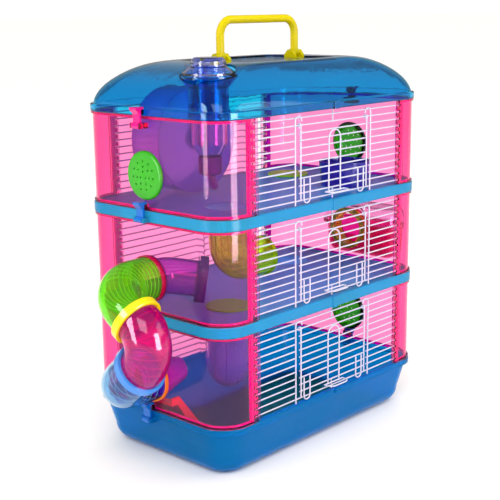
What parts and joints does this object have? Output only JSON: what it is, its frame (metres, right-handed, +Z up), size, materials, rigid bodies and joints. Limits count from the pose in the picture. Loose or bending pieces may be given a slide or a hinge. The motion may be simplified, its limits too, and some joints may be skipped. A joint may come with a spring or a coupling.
{
  "type": "small pet cage",
  "caption": "Tall pet play cage: deep tray, storeys with clear end panels and hinged wire doors, domed roof with folding handle, wheel, water bottle, chutes, outside tubes and nest pod",
  "frame": {"origin": "Centre of the tray's flat underside", "axes": "+X along the long side towards the end with the pod; +Y from the doors to the back; +Z up"},
  "size_m": [0.5719, 0.2631, 0.557],
  "materials": {
    "tray_azure": "gloss",
    "deck_blue": "gloss",
    "roof_azure": "tinted clear",
    "panel_pink": "tinted clear",
    "wire_white": "white coated wire",
    "handle_yellow": "gloss",
    "clip_blue": "gloss",
    "clip_pink": "gloss",
    "cap_lime": "gloss",
    "ring_red": "gloss",
    "ring_orange": "gloss",
    "ring_yellow": "gloss",
    "collar_blue": "gloss",
    "tube_green": "tinted clear",
    "tube_magenta": "tinted clear",
    "tube_blue": "tinted clear",
    "tube_purple": "tinted clear",
    "collar_purple": "gloss",
    "slide_red": "tinted clear",
    "chute_lime": "tinted clear",
    "chute_blue": "tinted clear",
    "wheel_blue": "gloss",
    "hanger_dark": "gloss",
    "bottle_clear": "clear",
    "cap_purple": "gloss",
    "nozzle_purple": "gloss",
    "ball_steel": "polished",
    "dish_navy": "tinted clear",
    "pod_magenta": "gloss",
    "pod_clear": "clear"
  },
  "bodies": {
    "cage": {"tray": "tray_azure", "deck_lower": "deck_blue", "deck_upper": "deck_blue", "roof": "roof_azure", "handle_bracket_left": "handle_yellow", "handle_bracket_right": "handle_yellow", "vent_cap_left_upper": "cap_lime", "vent_cap_right_upper": "cap_lime", "vent_cap_right_lower": "cap_lime", "port_ring_red": "ring_red", "port_ring_orange": "ring_orange", "port_ring_yellow": "ring_yellow", "elbow_green": "tube_green", "collar_yellow": "ring_yellow", "bend_magenta": "tube_magenta", "collar_blue": "collar_blue", "elbow_blue": "tube_blue", "inner_tube": "tube_purple", "inner_tube_collar": "collar_purple", "inner_funnel": "tube_purple", "port_slide": "slide_red", "pod_base": "pod_magenta", "wheel_axle": "hanger_dark", "wheel_hanger": "hanger_dark", "chute_elbow_lime": "chute_lime", "chute_elbow_blue": "chute_blue", "left_end_panel_lower": "panel_pink", "right_end_panel_lower": "panel_pink", "front_mesh_lower": "wire_white", "back_mesh_lower": "wire_white", "left_end_panel_middle": "panel_pink", "right_end_panel_middle": "panel_pink", "front_mesh_middle": "wire_white", "back_mesh_middle": "wire_white", "left_end_panel_upper": "panel_pink", "right_end_panel_upper": "panel_pink", "front_mesh_upper": "wire_white", "back_mesh_upper": "wire_white"},
    "door_lower": {"door_lower": "wire_white"},
    "door_middle": {"door_middle": "wire_white"},
    "door_upper": {"door_upper": "wire_white"},
    "handle": {"carry_handle": "handle_yellow"},
    "wheel": {"exercise_wheel": "wheel_blue"},
    "bottle": {"water_bottle": "bottle_clear", "bottle_cap": "cap_purple", "bottle_nozzle": "nozzle_purple", "nozzle_ball": "ball_steel"},
    "pod_lid": {"pod_lid": "pod_clear"},
    "plug_upper": {"floor_plug_upper": "cap_lime"},
    "plug_lower": {"floor_plug_lower": "cap_lime"},
    "dish": {"food_dish": "dish_navy"},
    "clip_left_tray": {"clip_left_tray": "clip_blue"},
    "clip_left_deck_lower": {"clip_left_deck_lower": "clip_blue"},
    "clip_left_deck_upper": {"clip_left_deck_upper": "clip_blue"},
    "clip_left_roof": {"clip_left_roof": "clip_pink"},
    "clip_right_tray": {"clip_right_tray": "clip_blue"},
    "clip_right_deck_upper": {"clip_right_deck_upper": "clip_blue"},
    "clip_right_roof": {"clip_right_roof": "clip_pink"}
  },
  "joints": [
    {"name": "door_lower_hinge", "type": "hinge", "parent": "cage", "child": "door_lower", "pos_m": [0.005, -0.1215, 0.1681], "axis": [-1, 0, 0], "range_deg": [0, 100]},
    {"name": "door_middle_hinge", "type": "hinge", "parent": "cage", "child": "door_middle", "pos_m": [0.005, -0.1215, 0.2971], "axis": [-1, 0, 0], "range_deg": [0, 100]},
    {"name": "door_upper_hinge", "type": "hinge", "parent": "cage", "child": "door_upper", "pos_m": [0.005, -0.1215, 0.4261], "axis": [-1, 0, 0], "range_deg": [0, 100]},
    {"name": "handle_fold", "type": "hinge", "parent": "cage", "child": "handle", "pos_m": [0, 0, 0.5066], "axis": [1, 0, 0], "range_deg": [-90, 90]},
    {"name": "wheel_spin", "type": "hinge", "parent": "cage", "child": "wheel", "pos_m": [-0.085, 0.03, 0.401], "axis": [0, 1, 0], "continuous": true},
    {"name": "clip_left_tray_hinge", "type": "hinge", "parent": "cage", "child": "clip_left_tray", "pos_m": [-0.2115, 0.006, 0.0582], "axis": [0, -1, 0], "range_deg": [0, 100]},
    {"name": "clip_left_deck_lower_hinge", "type": "hinge", "parent": "cage", "child": "clip_left_deck_lower", "pos_m": [-0.2115, 0.006, 0.1872], "axis": [0, -1, 0], "range_deg": [0, 100]},
    {"name": "clip_left_deck_upper_hinge", "type": "hinge", "parent": "cage", "child": "clip_left_deck_upper", "pos_m": [-0.2115, 0.006, 0.3162], "axis": [0, -1, 0], "range_deg": [0, 100]},
    {"name": "clip_left_roof_hinge", "type": "hinge", "parent": "cage", "child": "clip_left_roof", "pos_m": [-0.2115, 0.006, 0.4307], "axis": [0, -1, 0], "range_deg": [0, 100]},
    {"name": "clip_right_tray_hinge", "type": "hinge", "parent": "cage", "child": "clip_right_tray", "pos_m": [0.2115, 0.006, 0.0582], "axis": [0, 1, 0], "range_deg": [0, 100]},
    {"name": "clip_right_deck_upper_hinge", "type": "hinge", "parent": "cage", "child": "clip_right_deck_upper", "pos_m": [0.2115, 0.006, 0.3162], "axis": [0, 1, 0], "range_deg": [0, 100]},
    {"name": "clip_right_roof_hinge", "type": "hinge", "parent": "cage", "child": "clip_right_roof", "pos_m": [0.2115, 0.006, 0.4307], "axis": [0, 1, 0], "range_deg": [0, 100]},
    {"name": "bottle_lift", "type": "slide", "parent": "cage", "child": "bottle", "axis": [0, 0, 1], "range_m": [0, 0.15]},
    {"name": "pod_lid_lift", "type": "slide", "parent": "cage", "child": "pod_lid", "axis": [0, 0, 1], "range_m": [0, 0.05]},
    {"name": "plug_upper_lift", "type": "slide", "parent": "cage", "child": "plug_upper", "axis": [0, 0, 1], "range_m": [0, 0.05]},
    {"name": "plug_lower_lift", "type": "slide", "parent": "cage", "child": "plug_lower", "axis": [0, 0, 1], "range_m": [0, 0.008]},
    {"name": "dish_lift", "type": "slide", "parent": "cage", "child": "dish", "axis": [0, 0, 1], "range_m": [0, 0.06]}
  ]
}
